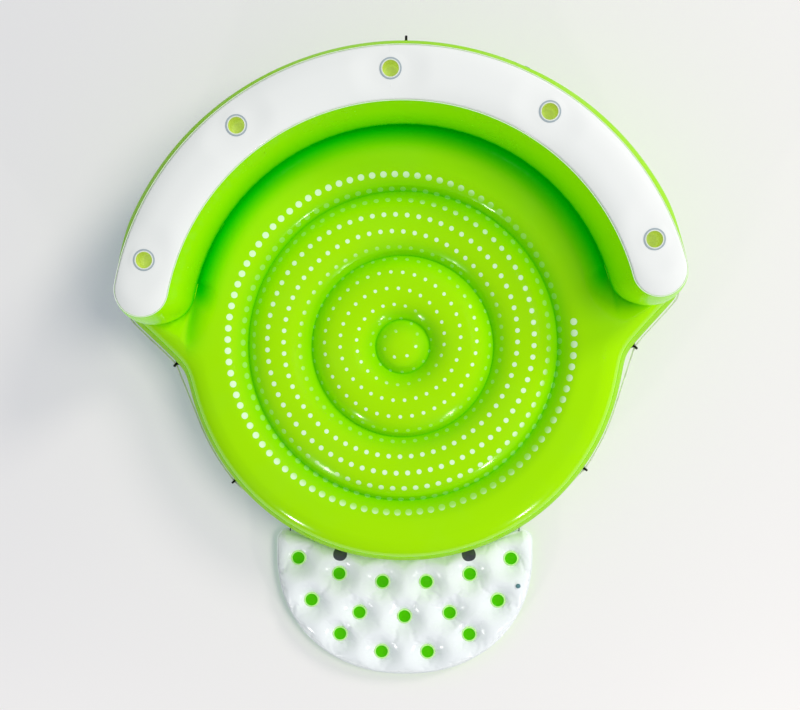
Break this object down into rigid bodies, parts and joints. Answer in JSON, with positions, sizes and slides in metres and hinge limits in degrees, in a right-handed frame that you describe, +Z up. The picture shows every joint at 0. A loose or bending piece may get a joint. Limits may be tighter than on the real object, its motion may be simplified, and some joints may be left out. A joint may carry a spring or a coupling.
{
  "type": "pool float",
  "caption": "Inflatable pool lounge: round ringed deck, crescent backrest with cup holders, grab rope and a tufted boarding mat on a hinge line.",
  "frame": {"origin": "centre of the round deck, on the surface that the float lies on", "axes": "+Z up, +Y towards the middle of the backrest, +X to the right of someone who faces the backrest"},
  "size_m": [2.903, 3.3088, 0.7948],
  "materials": {
    "green_film": "glossy vinyl film",
    "white_film": "glossy vinyl film",
    "cup_film": "glossy translucent vinyl",
    "ring_film": "glossy vinyl",
    "black_rubber": "satin moulded rubber",
    "rope_fibre": "braided polypropylene",
    "valve_plastic": "satin soft plastic"
  },
  "bodies": {
    "hull": {"deck_sheet": "green_film", "hull_side_wall": "green_film", "hull_bottom_sheet": "white_film", "web_inner": "white_film", "web_middle": "white_film", "web_outer": "white_film", "backrest_inner_wall": "green_film", "backrest_end_right": "green_film", "backrest_end_left": "green_film", "backrest_outer_wall_right": "green_film", "backrest_outer_wall_middle": "green_film", "backrest_outer_wall_left": "green_film", "backrest_top_panel_1": "white_film", "backrest_top_panel_2": "white_film", "backrest_top_panel_3": "white_film", "backrest_top_panel_4": "white_film", "backrest_top_panel_5": "white_film", "cup_holder_1": "cup_film", "cup_holder_2": "cup_film", "cup_holder_3": "cup_film", "cup_holder_4": "cup_film", "cup_holder_5": "cup_film", "cup_ring_1": "ring_film", "cup_ring_2": "ring_film", "cup_ring_3": "ring_film", "cup_ring_4": "ring_film", "cup_ring_5": "ring_film", "rope_eyelet_1": "black_rubber", "rope_eyelet_2": "black_rubber", "rope_eyelet_3": "black_rubber", "rope_eyelet_4": "black_rubber", "rope_eyelet_5": "black_rubber", "rope_eyelet_6": "black_rubber", "rope_eyelet_7": "black_rubber", "rope_eyelet_8": "black_rubber", "rope_eyelet_9": "black_rubber", "mooring_eyelet": "black_rubber", "grab_rope": "rope_fibre", "rope_knot_right": "rope_fibre", "rope_knot_left": "rope_fibre", "hull_valve_body": "valve_plastic", "backrest_valve_body": "valve_plastic"},
    "boarding_mat": {"mat_top_sheet": "white_film", "mat_bottom_sheet": "green_film", "mat_tab_right": "black_rubber", "mat_tab_left": "black_rubber", "mat_valve_body": "valve_plastic"},
    "hull_valve_lid": {"hull_valve_cap": "valve_plastic"},
    "backrest_valve_lid": {"backrest_valve_cap": "valve_plastic"},
    "mat_valve_lid": {"mat_valve_cap": "valve_plastic"}
  },
  "joints": [
    {"name": "mat_swing", "type": "hinge", "parent": "hull", "child": "boarding_mat", "pos_m": [-0.03664, -0.99933, 0.065], "axis": [-0.9993, 0.0366, 0], "range_deg": [-30, 20]},
    {"name": "hull_valve_open", "type": "hinge", "parent": "hull", "child": "hull_valve_lid", "pos_m": [0.2947, 1.43264, 0.22979], "axis": [0.9789, -0.2042, 0], "range_deg": [0, 140]},
    {"name": "backrest_valve_open", "type": "hinge", "parent": "hull", "child": "backrest_valve_lid", "pos_m": [0.63761, 1.27747, 0.63196], "axis": [0.8919, -0.4522, 0], "range_deg": [0, 140]},
    {"name": "mat_valve_open", "type": "hinge", "parent": "boarding_mat", "child": "mat_valve_lid", "pos_m": [0.56225, -1.3134, 0.1269], "axis": [-0.9993, 0.0366, 0], "range_deg": [0, 140]}
  ]
}
